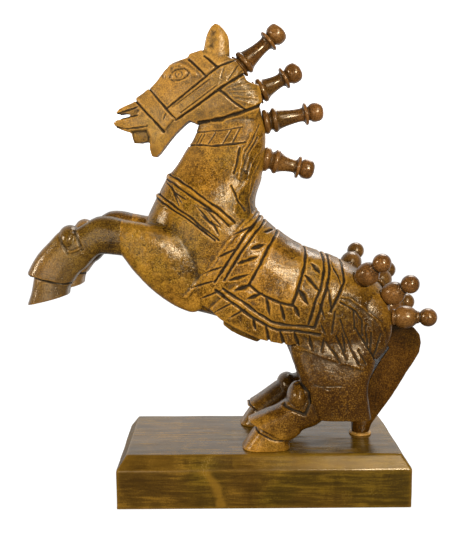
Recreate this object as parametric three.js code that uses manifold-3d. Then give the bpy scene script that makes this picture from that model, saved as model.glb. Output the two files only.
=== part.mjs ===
// Carved wooden horse, rearing on a plinth, with push-in turned pegs for its mane and its tail.
// Units are millimetres, +Z is up, +X is towards the tail and the horse's left side faces -Y.
// The origin is the middle of the plinth's underside.
import * as THREE from "three";
import { ConvexGeometry } from "three/addons/geometries/ConvexGeometry.js";
import { mergeVertices } from "three/addons/utils/BufferGeometryUtils.js";
import Module from "manifold-3d";

const wasm = await Module();
wasm.setup();

// ---------------------------------------------------------------- driving dimensions

const GAP = 0.3; // clearance between pieces that touch on the real figurine
const PLINTH = { length: 200, width: 100, height: 36, bevelInset: 6.4, bevelDrop: 9 };

const HIND_LEG_Y = 27; // middle of each hind leg, from the centre plane
const FORELEG_Y = 23; // middle of each foreleg
const EAR_Y = 8;
const FORELEG_JOINT_X = -96; // glue line of the left foreleg
const FORELEG_SHIFT = { left: [0, 0], right: [2.5, 1.2] }; // carved a little apart, in X and Z

const DOWEL = { radius: 3, length: 24, z: 182 };
const SCREW = { radius: 2, headRadius: 4, headDepth: 3, sink: 1.5, tipZ: 51, x: 3 };

const TENON = { radius: 3, length: 20 }; // the round tenon under every peg
const TAIL_FOOT = { x: 72.5, radius: 6.2, thickness: 16, tenonDepth: 16 };
const FOOT_RING = { outer: 8, thickness: 1.7 };
const RUMP_FACE_X = 88.5; // flat on the rump that the tail board is glued to
const TAIL_DOWEL_Z = 111;

// Mane pegs, in the centre plane: where the neck seat is, how far the peg leans up from +X,
// and the stations of its turned head, measured out from the seat.
const MANE_PEGS = [
  { x: -16.5, z: 297.9, lean: 41, flange: 5.4, collar: 27.2, knob: 34, knobRadius: 7.4 },
  { x: -4.2, z: 280.4, lean: 28, flange: 4.6, collar: 21.9, knob: 28.9, knobRadius: 7 },
  { x: 0.8, z: 260.5, lean: 11, flange: 8, collar: 30, knob: 36.7, knobRadius: 6.7 },
  { x: 0.6, z: 235.5, lean: -13.5, flange: 9.4, collar: 25.4, knob: 31.4, knobRadius: 6.9 },
];
const MANE_DISC_RADIUS = 8.6;
const MANE_DISC_HALF = 1.6;

// Tail pegs: the seat on the rump and the middle of the ball at the far end.
const TAIL_PEGS = {
  tail_peg_left_1: { seat: [66, -22.9, 152.1], ball: [78.1, -39, 166.1] },
  tail_peg_left_2: { seat: [83.4, -20.2, 139], ball: [98, -35, 151] },
  tail_peg_left_3: { seat: [88.4, -24.6, 127], ball: [112.3, -30, 127.6] },
  tail_peg_right_1: { seat: [64.5, 18.7, 154.5], ball: [73.5, 39, 167] },
  tail_peg_right_2: { seat: [85.2, 12.4, 143.3], ball: [96.2, 32, 152.6] },
  tail_peg_right_3: { seat: [88.6, 15.5, 126.1], ball: [110, 27, 129] },
};
const TAIL_BALL_AT = 24.5; // middle of the ball, out from the seat

const SIDES = ["left", "right"];

function legY(side, distance) {
  return side === "left" ? -distance : distance;
}

// ---------------------------------------------------------------- materials

function wood(color, roughness) {
  return new THREE.MeshStandardMaterial({ color, roughness, metalness: 0 });
}

const horseWood = wood(0x8a6126, 0.4);
const pegWood = wood(0x94592c, 0.32);
const plinthWood = wood(0x5e4823, 0.45);
const paleWood = wood(0xc99a52, 0.6);
const steel = new THREE.MeshStandardMaterial({ color: 0xb8bab8, roughness: 0.35, metalness: 1 });

// ---------------------------------------------------------------- solids

// A closed three.js geometry as a manifold solid.
function solid(geometry) {
  const bare = geometry.index ? geometry.toNonIndexed() : geometry.clone();
  bare.deleteAttribute("normal");
  bare.deleteAttribute("uv");
  const merged = mergeVertices(bare, 1e-4);
  return new wasm.Manifold(
    new wasm.Mesh({
      numProp: 3,
      vertProperties: merged.attributes.position.array,
      triVerts: new Uint32Array(merged.index.array),
    }),
  );
}

// A manifold solid as a named three.js mesh.
function meshOf(name, made, material) {
  const { vertProperties, triVerts } = made.getMesh();
  const geometry = new THREE.BufferGeometry();
  geometry.setAttribute("position", new THREE.BufferAttribute(vertProperties, 3));
  geometry.setIndex(new THREE.BufferAttribute(triVerts, 1));
  geometry.computeVertexNormals();
  const mesh = new THREE.Mesh(geometry, material);
  mesh.name = name;
  return mesh;
}

function union(solids) {
  return solids.reduce((sum, next) => sum.add(next));
}

// A superellipse coordinate: power 2 is round and higher powers are squarer.
function squarish(value, power) {
  return Math.sign(value) * Math.abs(value) ** (2 / power);
}

// A body carved across ribs. Each rib is [ax, az, bx, bz, half, lean], two points of the side
// outline, the half-width across Y, and how far the rib lies outside plane y, away from the
// centre. The shape runs smoothly from rib to rib.
function ribbed(ribs, { y = 0, power = 2.6, sides = 24, between = 1 } = {}) {
  const a = new THREE.CatmullRomCurve3(
    ribs.map(([ax, az, , , half]) => new THREE.Vector3(ax, half, az)), false, "catmullrom", 0.5);
  const b = new THREE.CatmullRomCurve3(
    ribs.map(([, , bx, bz, , lean = 0]) => new THREE.Vector3(bx, y + Math.sign(y) * lean, bz)),
    false, "catmullrom", 0.5);
  const rings = (ribs.length - 1) * between;
  const positions = [];
  for (let ring = 0; ring <= rings; ring++) {
    const pa = a.getPoint(ring / rings);
    const pb = b.getPoint(ring / rings);
    for (let side = 0; side < sides; side++) {
      const turn = (2 * Math.PI * side) / sides;
      const along = squarish(Math.cos(turn), power) / 2;
      positions.push(
        (pa.x + pb.x) / 2 + (pa.x - pb.x) * along,
        pb.y + pa.y * squarish(Math.sin(turn), power),
        (pa.z + pb.z) / 2 + (pa.z - pb.z) * along,
      );
    }
  }
  const index = [];
  for (let ring = 0; ring < rings; ring++) {
    for (let side = 0; side < sides; side++) {
      const here = ring * sides + side;
      const beside = ring * sides + ((side + 1) % sides);
      index.push(here, beside, here + sides, beside, beside + sides, here + sides);
    }
  }
  for (let side = 1; side < sides - 1; side++) {
    index.push(0, side + 1, side);
    index.push(rings * sides, rings * sides + side, rings * sides + side + 1);
  }
  const geometry = new THREE.BufferGeometry();
  geometry.setAttribute("position", new THREE.Float32BufferAttribute(positions, 3));
  geometry.setIndex(index);
  const made = solid(geometry);
  if (made.volume() > 0) return made;
  geometry.setIndex(index.reverse());
  return solid(geometry);
}

// A side outline of [x, z] points, extruded to both sides of plane y.
function board(outline, thickness, y = 0, bevel = 0) {
  const shape = new THREE.Shape(outline.map(([x, z]) => new THREE.Vector2(x, z)));
  const geometry = new THREE.ExtrudeGeometry(shape, {
    depth: thickness - 2 * bevel,
    bevelEnabled: bevel > 0,
    bevelSize: bevel,
    bevelThickness: bevel,
    bevelOffset: -bevel,
    bevelSegments: 2,
  });
  geometry.rotateX(Math.PI / 2);
  geometry.translate(0, y + thickness / 2 - bevel, 0);
  return solid(geometry);
}

// A turned shape from [radius, distance] points, from the axis back to the axis, pointing along +Z.
function turned(profile, sides = 14) {
  return new THREE.LatheGeometry(profile.map(([r, s]) => new THREE.Vector2(r, s)), sides)
    .rotateX(Math.PI / 2);
}

// The same geometry moved to `seat` with its +Z turned towards `direction`.
function aimed(geometry, seat, direction) {
  const turn = new THREE.Quaternion().setFromUnitVectors(
    new THREE.Vector3(0, 0, 1), direction.clone().normalize());
  const placed = geometry.clone().applyQuaternion(turn);
  return placed.translate(seat.x, seat.y, seat.z);
}

function rod(radius, from, to, sides = 14) {
  const start = new THREE.Vector3(...from);
  const along = new THREE.Vector3(...to).sub(start);
  const length = along.length();
  const profile = [[0, 0], [radius, 0], [radius, length], [0, length]];
  return solid(aimed(turned(profile, sides), start, along));
}

function ellipsoid(x, y, z, halfX, halfY, halfZ) {
  return solid(new THREE.SphereGeometry(1, 12, 8).scale(halfX, halfY, halfZ).translate(x, y, z));
}

// ---------------------------------------------------------------- pegs

const BEAD_STEPS = 4;

// Points of a round bead of `radius` around `middle`, between two angles from its equator.
function bead(middle, radius, half, from, to) {
  const points = [];
  for (let step = 0; step <= BEAD_STEPS; step++) {
    const at = Math.sin(from + ((to - from) * step) / BEAD_STEPS);
    points.push([radius * Math.sqrt(1 - at * at), middle + half * at]);
  }
  return points;
}

// Two discs at the neck, a waisted shaft, a thin collar and a knob.
function maneProfile({ flange, collar, knob, knobRadius }) {
  const r = MANE_DISC_RADIUS;
  const half = MANE_DISC_HALF;
  const inner = flange - half;
  return [
    [r - 0.9, 0], [r, 0.6], [r, inner * 0.5], [5.7, inner * 0.75],
    [r - 1.5, flange - half], [r, flange - half + 0.7], [r, flange + half - 0.9],
    [r - 1.7, flange + half], [5.3, flange + (collar - flange) * 0.4],
    [4.5, flange + (collar - flange) * 0.75], [4.8, collar - 1.2],
    [7.7, collar - 0.7], [7.7, collar + 0.6], [4.8, collar + 1.3],
    ...bead(knob, knobRadius, 5.4, -0.8, 1.3),
  ];
}

function tailProfile() {
  return [
    [4.8, 0], [5.7, 0.7], [5.7, 1.9], [5.2, 2.4], [7.2, 5], [8, 8.5], [7.7, 11.5], [6.5, 14.5],
    [4.3, 17], [4.3, 18.2], [3.6, 18.8],
    ...bead(TAIL_BALL_AT, 6.3, 6.3, -0.95, 1.35),
  ];
}

// The whole peg: its tenon down the hole and its turned head outside.
function pegShape(profile) {
  const seat = profile[0][1];
  return [
    [0, -TENON.length], [TENON.radius - 0.6, -TENON.length], [TENON.radius, -TENON.length + 1],
    [TENON.radius, seat], ...profile, [0, profile.at(-1)[1]],
  ];
}

// What the peg needs cleared to slide in: its drilled hole, and a seat as wide as the widest
// part of the head up to there.
function pegClearance(profile) {
  const hole = TENON.radius + GAP;
  const seat = profile[0][1] - GAP;
  const points = [[0, -TENON.length - GAP], [hole, -TENON.length - GAP], [hole, seat]];
  let widest = 0;
  for (const [r, s] of profile) {
    const reach = Math.max(widest, r + GAP);
    if (reach > widest) points.push([reach, s - GAP]);
    widest = reach;
  }
  const end = profile.at(-1)[1] + 6;
  return [...points, [widest, end], [0, end]];
}

function pegPlans() {
  const mane = MANE_PEGS.map((peg, i) => {
    const lean = THREE.MathUtils.degToRad(peg.lean);
    return {
      name: `mane_peg_${i + 1}`,
      seat: new THREE.Vector3(peg.x, 0, peg.z),
      direction: new THREE.Vector3(Math.cos(lean), 0, Math.sin(lean)),
      profile: maneProfile(peg),
    };
  });
  const tail = Object.entries(TAIL_PEGS).map(([name, { seat, ball }]) => ({
    name,
    seat: new THREE.Vector3(...seat),
    direction: new THREE.Vector3(...ball).sub(new THREE.Vector3(...seat)).normalize(),
    profile: tailProfile(),
  }));
  return [...mane, ...tail];
}

function peg({ name, seat, direction, profile }) {
  return meshOf(name, solid(aimed(turned(pegShape(profile)), seat, direction)), pegWood);
}

// ---------------------------------------------------------------- horse body

const TRUNK_POWER = 3.2;
const TRUNK_RIBS = [
  [-43, 266, -2, 277, 14],
  [-45, 257, -1, 267, 16],
  [-48, 249, 1.8, 256, 18],
  [-53.8, 240.5, 2.2, 245, 19.5],
  [-59.4, 231.5, 1.2, 233, 21],
  [-66, 223, -1, 221, 24],
  [-71.5, 213, -5, 207, 27],
  [-76.5, 203.5, -3, 198, 29],
  [-82, 191.5, 8, 187, 30.5],
  [-87, 176, 21, 177.5, 31],
  [-85, 160, 34, 172, 31],
  [-74, 146, 46, 168, 31.5],
  [-60, 132.5, 57, 163, 32],
  [-44, 128.8, 67, 157.5, 33],
  [-28, 124, 79, 150.5, 34],
  [-6, 115.5, 87.5, 138, 34],
  [15, 110, 89.5, 122, 34],
  [28, 101, 88.5, 108, 33],
  [34, 92, 84, 98, 31],
];

function trunkAndNeck() {
  return ribbed(TRUNK_RIBS, { power: TRUNK_POWER, sides: 18 });
}

// The saddle cloth and rump cover: a slightly larger trunk inside the cloth's own outline, with
// a flap that hangs straight down each flank.
function cloth() {
  const swell = 1.2;
  const larger = TRUNK_RIBS.slice(6).map(([ax, az, bx, bz, half]) => {
    const along = new THREE.Vector2(bx - ax, bz - az).setLength(swell);
    return [ax - along.x, az - along.y, bx + along.x, bz + along.y, half + swell];
  });
  const outline = board([
    [-1, 200], [-13, 190], [-24, 176], [-36, 160], [-52, 142], [-38, 133.5], [-30, 127.5],
    [-20, 121.5], [-10, 116.5], [-3, 113.5], [7, 111], [18, 109], [35, 104.5], [50, 99.5],
    [66, 95], [78, 100], [94, 104], [94, 140], [60, 172], [20, 190],
  ], 80);
  const flaps = SIDES.map((side) => board([
    [-37, 134.5], [-30, 127.5], [-20, 121.5], [-10, 116.5], [-3, 113.5], [7, 111], [18, 109],
    [28, 112], [10, 136], [-20, 150],
  ], 10, legY(side, 28.6)));
  const hugging = ribbed(larger, { power: TRUNK_POWER, sides: 18 });
  return union([hugging.intersect(outline), ...flaps]);
}

function head() {
  const outline = board([
    [-101.3, 265.8], [-99, 269], [-95, 271], [-88.5, 273.8], [-87.5, 275.2], [-78, 282.3],
    [-72, 288.8], [-67, 295.2], [-62, 300.2], [-57, 301.7], [-52, 303.2], [-49.5, 305.7],
    [-44, 307.5], [-38, 309], [-25, 304], [-19.5, 302.4], [-15, 295.4], [-11.5, 288.2],
    [-8, 286.2], [-3.5, 285.6], [-1.5, 280], [-1, 272], [-6, 262], [-26, 256], [-43, 257.5],
    [-46.5, 259.8], [-50.5, 261.2], [-54.5, 258], [-60, 252.8], [-65, 246.8], [-71, 238.7],
    [-74, 236], [-76.8, 236.8], [-79, 245.8], [-84, 244.8], [-90, 244.8], [-91, 253],
    [-96, 254.4], [-101.5, 256.6], [-103, 259.6], [-100.5, 262], [-95, 263.5], [-87.5, 264.6],
    [-94, 265.3],
  ], 50);
  const rounding = ribbed([
    [-105.8, 266, -105.8, 256.5, 5.5],
    [-101, 270.8, -101, 253.5, 8.3],
    [-96, 273.3, -94, 247, 9.8],
    [-88, 277.2, -86, 241.5, 10.8],
    [-79, 285, -71, 233.5, 11.6],
    [-66.5, 298.8, -58.5, 246, 13],
    [-52.5, 306.8, -46, 255, 14.5],
    [-38, 312, -30, 252, 15.5],
    [-22, 306.5, -13, 254, 15.5],
    [-9.5, 291.5, 0, 262, 14.5],
    [-0.5, 287.5, 6, 270, 11],
  ], { power: 2.7, sides: 16 });
  return outline.intersect(rounding);
}

function ear(y) {
  return ribbed([
    [-41, 302, -22.8, 300, 4.5, -1],
    [-40.3, 311, -23, 310, 4.4],
    [-38.7, 318, -23.8, 317, 3.9, 0.8],
    [-36, 323, -26.5, 321.8, 2.9, 1.2],
    [-33.2, 325.8, -30, 325.4, 1.3, 1.4],
  ], { y, power: 2.2, sides: 12 });
}

// The upper foreleg, carved in one with the chest as far as the glue line.
function forelegStub(side) {
  const [dx, dz] = FORELEG_SHIFT[side];
  return ribbed([
    [-46, 180, -40, 133.5, 9, -3],
    [-60, 187, -51, 130.6, 11, -1],
    [-75, 190.8, -71, 142, 12],
    [-87, 192.8, -87, 157.8, 12],
    [FORELEG_JOINT_X, 194.5, FORELEG_JOINT_X, 169.8, 11.6],
  ], { y: legY(side, FORELEG_Y), power: 3, sides: 16 }).translate(dx, 0, dz);
}

function hindLeg(side) {
  const y = legY(side, HIND_LEG_Y);
  const thigh = ribbed([
    [50, 152, 76, 148.5, 7, -10],
    [34, 142, 84, 139, 11.5, -7.5],
    [22, 126, 88.6, 127, 13.2, -6.5],
    [18, 110, 87.5, 112, 13.3, -5.5],
    [19.2, 100, 78.5, 101, 13.6, -3.5],
    [22.5, 91, 74, 91, 13.6, -1.5],
    [25.2, 84, 71.5, 83, 13.5, -0.5],
    [28, 76, 71.8, 75, 13.4],
    [31, 68, 73, 67, 13.3],
    [36, 57.5, 74.5, 57, 13.2],
  ], { y, power: 4, sides: 16 });
  const cuff = ribbed([
    [38, 75, 44, 58, 10],
    [29, 74, 36, 52, 11],
    [19, 71.3, 27.5, 49, 11.6],
    [9.5, 65.2, 25.5, 46.2, 12.2],
    [0.8, 59.3, 22, 43.5, 12.9],
    [-7.8, 53.6, 18.5, 41.5, 13.3],
  ], { y, power: 2.8, sides: 14 });
  const floor = PLINTH.height + GAP;
  const hoof = ribbed([
    [0, 57, 18, 46, 11],
    [-4.5, 51, 18, 43, 12],
    [-9, 45, 18.2, 40, 12.6],
    [-15, floor, 18.5, floor, 13.3],
  ], { y, power: 2.8, sides: 14 });
  return union([thigh, cuff, hoof, ellipsoid(24, y, 68.5, 7.5, 12.6, 8)]);
}

// The cloth edge that hangs under the belly, lower on the far side.
function bellyCloth() {
  return board([
    [-27.5, 130], [-27.5, 119], [-22, 114.5], [-14, 110.5], [-4, 106.6], [-2, 107.6], [10, 118],
    [0, 130],
  ], 40, 9, 2);
}

function horseBody(plans) {
  const pairs = SIDES.flatMap((side) => [forelegStub(side), hindLeg(side), ear(legY(side, EAR_Y))]);
  let made = union([trunkAndNeck(), cloth(), head(), bellyCloth(), ...pairs]);
  const rumpFlat = solid(new THREE.BoxGeometry(30, 19, 40).translate(RUMP_FACE_X + 15, 0, 101));
  made = made.subtract(rumpFlat);
  for (const { seat, direction, profile } of plans) {
    made = made.subtract(solid(aimed(turned(pegClearance(profile)), seat, direction)));
  }
  for (const side of SIDES) {
    made = made.subtract(forelegDowel(side, GAP)).subtract(screwHole(side));
  }
  return made.subtract(tailDowel(GAP));
}

// ---------------------------------------------------------------- forelegs

function foreleg(side) {
  const y = legY(side, FORELEG_Y);
  const [dx, dz] = FORELEG_SHIFT[side];
  const x = FORELEG_JOINT_X - GAP;
  const shank = ribbed([
    [x, 194.5, x, 169.8, 11.6],
    [-105, 196.4, -105, 170.8, 11.3],
    [-113, 196, -111, 170.8, 11],
    [-120.5, 192, -115, 168, 11],
    [-127, 188.5, -118.5, 164, 11.2],
    [-134, 186, -122, 160.5, 11.2],
    [-142, 177, -127, 158, 10.8],
  ], { y, power: 2.8, sides: 14 });
  const cuff = ribbed([
    [-133, 188, -120.5, 164, 9.5],
    [-139, 185.5, -122.5, 161.5, 10.9],
    [-145, 179.5, -124.5, 159, 11.7],
    [-151.3, 173, -127, 156, 12.3],
    [-156.3, 166, -129, 153, 12.8],
    [-160.8, 157.3, -131.3, 150, 13.1],
  ], { y, power: 2.8, sides: 14 });
  const hoof = ribbed([
    [-153, 163, -131, 156, 10.5],
    [-156, 155.5, -131.5, 151, 11.6],
    [-157.8, 146, -132.5, 147, 12.2],
    [-160.8, 136.5, -133, 143.6, 12.9],
  ], { y, power: 2.8, sides: 14 });
  const knob = ellipsoid(-131.5, y, 181, 8, 12.3, 9.6);
  return union([shank, cuff, hoof, knob]).translate(dx, 0, dz).subtract(forelegDowel(side, GAP));
}

function forelegDowel(side, extra = 0) {
  const [dx, dz] = FORELEG_SHIFT[side];
  const half = DOWEL.length / 2 + extra;
  const x = FORELEG_JOINT_X + dx;
  const y = legY(side, FORELEG_Y);
  const z = DOWEL.z + dz;
  return rod(DOWEL.radius + extra, [x - half, y, z], [x + half, y, z]);
}

// ---------------------------------------------------------------- tail

function tailDowel(extra = 0) {
  const half = DOWEL.length / 2 + extra;
  const ends = [RUMP_FACE_X - half, RUMP_FACE_X + half];
  return rod(DOWEL.radius + extra, ...ends.map((x) => [x, 0, TAIL_DOWEL_Z]));
}

function tailFootZ() {
  return PLINTH.height + FOOT_RING.thickness + 2 * GAP;
}

function tailBoard() {
  const x = RUMP_FACE_X + GAP;
  const foot = tailFootZ();
  const left = TAIL_FOOT.x - TAIL_FOOT.radius;
  const right = TAIL_FOOT.x + TAIL_FOOT.radius;
  const blade = board([
    [x, 119], [103, 118.5], [109, 115.5], [113.3, 110.5], [115, 104], [114, 97], [109.3, 90],
    [104, 82.5], [98.7, 73.5], [93.5, 65], [88.5, 57.5], [84, 50.5], [80, 44], [right, foot + 2],
    [left, foot + 2], [left, 48], [69, 57], [73, 67], [78, 77], [83.5, 87], [90, 96.5],
    [93, 101], [x, 105],
  ], TAIL_FOOT.thickness, 0, 2);
  const waist = ribbed([
    [left, foot, right, foot, TAIL_FOOT.radius],
    [left - 2, 46, right + 5, 46, TAIL_FOOT.radius],
    [60, 58, 98, 58, 7.4],
    [60, 75, 110, 75, 8.2],
    [60, 121, 120, 121, 8.5],
  ], { power: 2.2, sides: 20 });
  const tenon = rod(TENON.radius, [TAIL_FOOT.x, 0, PLINTH.height - TAIL_FOOT.tenonDepth],
    [TAIL_FOOT.x, 0, foot + 4]);
  const tip = rod(TAIL_FOOT.radius, [TAIL_FOOT.x, 0, foot], [TAIL_FOOT.x, 0, foot + 3]);
  return union([blade.intersect(waist), tip, tenon]).subtract(tailDowel(GAP));
}

function footRing() {
  const low = PLINTH.height + GAP;
  const high = low + FOOT_RING.thickness;
  const bore = TENON.radius + GAP;
  const profile = [[bore, low], [FOOT_RING.outer, low], [FOOT_RING.outer, high - 0.5],
    [FOOT_RING.outer - 0.5, high], [bore, high], [bore, low]];
  return solid(turned(profile, 20).translate(TAIL_FOOT.x, 0, 0));
}

// ---------------------------------------------------------------- plinth and screws

function screwShape(extra) {
  const top = SCREW.tipZ + extra;
  const bottom = extra > 0 ? 0 : SCREW.sink;
  const head = SCREW.headRadius + extra;
  const body = SCREW.radius + extra;
  return turned([
    [0, bottom], [head, bottom], [head, SCREW.sink + 0.5],
    [body, SCREW.sink + 0.5 + SCREW.headDepth], [body, top - 4], [0.4, top], [0, top],
  ]);
}

function hoofScrew(side) {
  return solid(screwShape(0).translate(SCREW.x, legY(side, HIND_LEG_Y), 0));
}

function screwHole(side) {
  return solid(screwShape(GAP).translate(SCREW.x, legY(side, HIND_LEG_Y), 0));
}

function plinth() {
  const { length, width, height, bevelInset, bevelDrop } = PLINTH;
  const corners = [];
  for (const [inset, z] of [[0, 0], [0, height - bevelDrop], [bevelInset, height]]) {
    for (const sx of [-1, 1]) {
      for (const sy of [-1, 1]) {
        corners.push(new THREE.Vector3(sx * (length / 2 - inset), sy * (width / 2 - inset), z));
      }
    }
  }
  const hole = TENON.radius + GAP;
  const socket = rod(hole, [TAIL_FOOT.x, 0, height - TAIL_FOOT.tenonDepth - GAP],
    [TAIL_FOOT.x, 0, height + 1]);
  return solid(new ConvexGeometry(corners)).subtract(socket)
    .subtract(screwHole("left")).subtract(screwHole("right"));
}

// ---------------------------------------------------------------- assembly

const plans = pegPlans();
const figurine = new THREE.Group();
figurine.add(
  meshOf("plinth", plinth(), plinthWood),
  meshOf("horse_body", horseBody(plans), horseWood),
  meshOf("tail_board", tailBoard(), horseWood),
  meshOf("tail_foot_ring", footRing(), paleWood),
  meshOf("tail_dowel", tailDowel(), paleWood),
);
for (const side of SIDES) {
  figurine.add(
    meshOf(`foreleg_${side}`, foreleg(side), horseWood),
    meshOf(`foreleg_dowel_${side}`, forelegDowel(side), paleWood),
    meshOf(`hoof_screw_${side}`, hoofScrew(side), steel),
  );
}
for (const plan of plans) figurine.add(peg(plan));

export default figurine;
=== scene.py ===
# The carved wooden horse's looks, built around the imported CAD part. Every piece but the three hidden
# dowels is made again in fine detail from the same ribs and outlines. The wood is stained and lacquered.
# Tables are in millimetres; +Z is up, +X is towards the tail, the horse's left side faces -Y.
import math
from types import SimpleNamespace as Sizes
from typing import NamedTuple

import bmesh
import bpy
import numpy as np
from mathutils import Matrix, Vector


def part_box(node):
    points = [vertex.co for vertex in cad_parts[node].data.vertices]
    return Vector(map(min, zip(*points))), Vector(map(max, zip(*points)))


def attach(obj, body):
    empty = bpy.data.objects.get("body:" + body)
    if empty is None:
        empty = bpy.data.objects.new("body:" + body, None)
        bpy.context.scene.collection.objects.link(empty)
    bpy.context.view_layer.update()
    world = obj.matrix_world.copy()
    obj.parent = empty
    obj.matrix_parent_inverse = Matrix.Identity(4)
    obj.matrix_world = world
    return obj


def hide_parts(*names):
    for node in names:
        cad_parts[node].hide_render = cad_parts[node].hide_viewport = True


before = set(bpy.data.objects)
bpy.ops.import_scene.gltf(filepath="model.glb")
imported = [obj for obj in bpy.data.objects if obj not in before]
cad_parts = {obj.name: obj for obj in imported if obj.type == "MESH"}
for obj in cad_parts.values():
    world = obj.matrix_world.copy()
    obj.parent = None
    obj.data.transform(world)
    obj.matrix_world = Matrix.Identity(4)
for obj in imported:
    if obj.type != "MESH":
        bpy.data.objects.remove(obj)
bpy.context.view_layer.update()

MM = 0.001
SIDES = {"left": -1, "right": 1}

# ---- driving dimensions

PLINTH_TOP = 36
HIND_LEG_Y = 27
FORELEG_Y = 23
EAR_Y = 8
FORELEG_JOINT_X = -96
FORELEG_SHIFT = {"left": (0, 0), "right": (2.5, 1.2)}
GLUE_GAP = 0.3  # left between glued pieces by the CAD, and closed here
DOWEL = Sizes(radius=3, length=24, z=182)
SCREW = Sizes(radius=2, head=4, sink=1.5, depth=3, tip_z=51, x=3)
TENON = Sizes(radius=3, length=20)
TAIL_FOOT = Sizes(x=72.5, radius=6.2, thickness=16, tenon=16)
SLOT = (2.4, 0.5)  # half its length and half its width
FOOT_RING = Sizes(outer=8, inner=3.3, thickness=1.7)
RUMP_FACE_X = 88.5
RUMP_FLAT_Z = (81, 121)
RUMP_FLAT_WIDTH = 19
TAIL_DOWEL_Z = 111

# Mane pegs: seat x and z, lean up from +X in degrees, stations of the turned head, knob radius.
MANE_PEGS = [
    Sizes(seat=(-16.5, 297.9), lean=41, flange=5.4, collar=27.2, knob=34, radius=7.4),
    Sizes(seat=(-4.2, 280.4), lean=28, flange=4.6, collar=21.9, knob=28.9, radius=7),
    Sizes(seat=(0.8, 260.5), lean=11, flange=8, collar=30, knob=36.7, radius=6.7),
    Sizes(seat=(0.6, 235.5), lean=-13.5, flange=9.4, collar=25.4, knob=31.4, radius=6.9),
]
MANE_DISC_RADIUS = 8.6
MANE_DISC_HALF = 2.0

# Tail pegs: the seat on the rump and the middle of the ball at the far end.
TAIL_PEGS = {
    "tail_peg_left_1": ((66, -22.9, 152.1), (78.1, -39, 166.1)),
    "tail_peg_left_2": ((83.4, -20.2, 139), (98, -35, 151)),
    "tail_peg_left_3": ((88.4, -24.6, 127), (112.3, -30, 127.6)),
    "tail_peg_right_1": ((64.5, 18.7, 154.5), (73.5, 39, 167)),
    "tail_peg_right_2": ((85.2, 12.4, 143.3), (96.2, 32, 152.6)),
    "tail_peg_right_3": ((88.6, 15.5, 126.1), (110, 27, 129)),
}
TAIL_BALL_AT = 24.5
PEG_STEP = 0.6  # between the rings of points on a peg

# ---- ribs and outlines
# A rib is (ax, az, bx, bz, half, lean): two points of the side outline, the half-width across Y,
# and how far it lies outside plane y.

NECK_POWER, BARREL_POWER, RUMP_POWER = 2.8, 2.6, 3.2
TRUNK_RIBS = [
    (-43, 266, -2, 277, 12), (-45, 257, -1, 267, 13), (-48, 249, 1.8, 256, 15.2),
    (-53.8, 240.5, 2.2, 245, 18), (-59.4, 231.5, 1.2, 233, 21), (-66, 223, -1, 221, 24),
    (-71.5, 213, -5, 207, 27), (-76.5, 203.5, -3, 198, 29), (-82, 191.5, 8, 187, 30.5),
    (-87, 176, 21, 177.5, 31), (-85, 160, 34, 172, 31), (-74, 146, 46, 168, 31.5),
    (-60, 132.5, 57, 163, 32), (-44, 128.8, 67, 157.5, 33), (-28, 124, 79, 150.5, 34),
    (-6, 115.5, 87.5, 138, 34), (15, 110, 89.5, 122, 34), (28, 101, 88.5, 108, 33),
    (34, 92, 84, 98, 31),
]
TRUNK_POWERS = [NECK_POWER] * 6 + [BARREL_POWER] * 7 + [RUMP_POWER] * 6
CLOTH_FROM = 6  # the rib where the cloth starts
CLOTH_SWELL = 1.2
CLOTH_OUTLINE = [
    (-1, 200), (-13, 190), (-24, 176), (-36, 160), (-52, 142), (-38, 133.5), (-30, 127.5),
    (-20, 121.5), (-10, 116.5), (-3, 113.5), (7, 111), (18, 109), (35, 104.5), (50, 99.5),
    (66, 95), (78, 100), (94, 104), (94, 140), (60, 172), (20, 190),
]
FLAP_OUTLINE = [
    (-37, 134.5), (-30, 127.5), (-20, 121.5), (-10, 116.5), (-3, 113.5), (7, 111), (18, 109),
    (28, 112), (10, 136), (-20, 150),
]
FLAP = Sizes(y=28.6, thickness=10)
BELLY_OUTLINE = [
    (-27.5, 130), (-27.5, 119), (-22, 114.5), (-14, 110.5), (-4, 106.6), (-2, 107.6), (10, 118),
    (0, 130),
]
BELLY = Sizes(y=9, thickness=40)
HEAD_OUTLINE = [
    (-101.3, 265.8), (-99, 269), (-95, 271), (-88.5, 273.8), (-87.5, 275.2), (-78, 282.3),
    (-72, 288.8), (-67, 295.2), (-62, 300.2), (-57, 301.7), (-52, 303.2), (-49.5, 305.7),
    (-44, 307.5), (-38, 309), (-25, 304), (-19.5, 302.4), (-15, 295.4), (-11.5, 288.2),
    (-8, 286.2), (-3.5, 285.6), (-1.5, 280), (-1, 272), (-6, 262), (-26, 256), (-43, 257.5),
    (-46.5, 259.8), (-50.5, 261.2), (-54.5, 258), (-60, 252.8), (-65, 246.8), (-71, 238.7),
    (-74, 236), (-76.8, 236.8), (-79, 245.8), (-84, 244.8), (-90, 244.8), (-91, 253),
    (-96, 254.4), (-101.5, 256.6), (-103, 259.6), (-100.5, 262), (-95, 263.5), (-87.5, 264.6),
    (-94, 265.3),
]
HEAD_RIBS = [
    (-105.8, 266, -105.8, 256.5, 5.5), (-101, 270.8, -101, 253.5, 8.3),
    (-96, 273.3, -94, 247, 9.8), (-88, 277.2, -86, 241.5, 10.8), (-79, 285, -71, 233.5, 11.6),
    (-66.5, 298.8, -58.5, 246, 13), (-52.5, 306.8, -46, 255, 14.5), (-38, 312, -30, 252, 15.5),
    (-22, 306.5, -13, 254, 15.5), (-9.5, 291.5, 0, 262, 14.5), (-0.5, 287.5, 6, 270, 11),
]
EAR_RIBS = [
    (-41, 302, -22.8, 300, 4.5, -1), (-40.3, 311, -23, 310, 4.4),
    (-38.7, 318, -23.8, 317, 3.9, 0.8), (-36, 323, -26.5, 321.8, 2.9, 1.2),
    (-33.2, 325.8, -30, 325.4, 1.3, 1.4),
]
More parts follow.
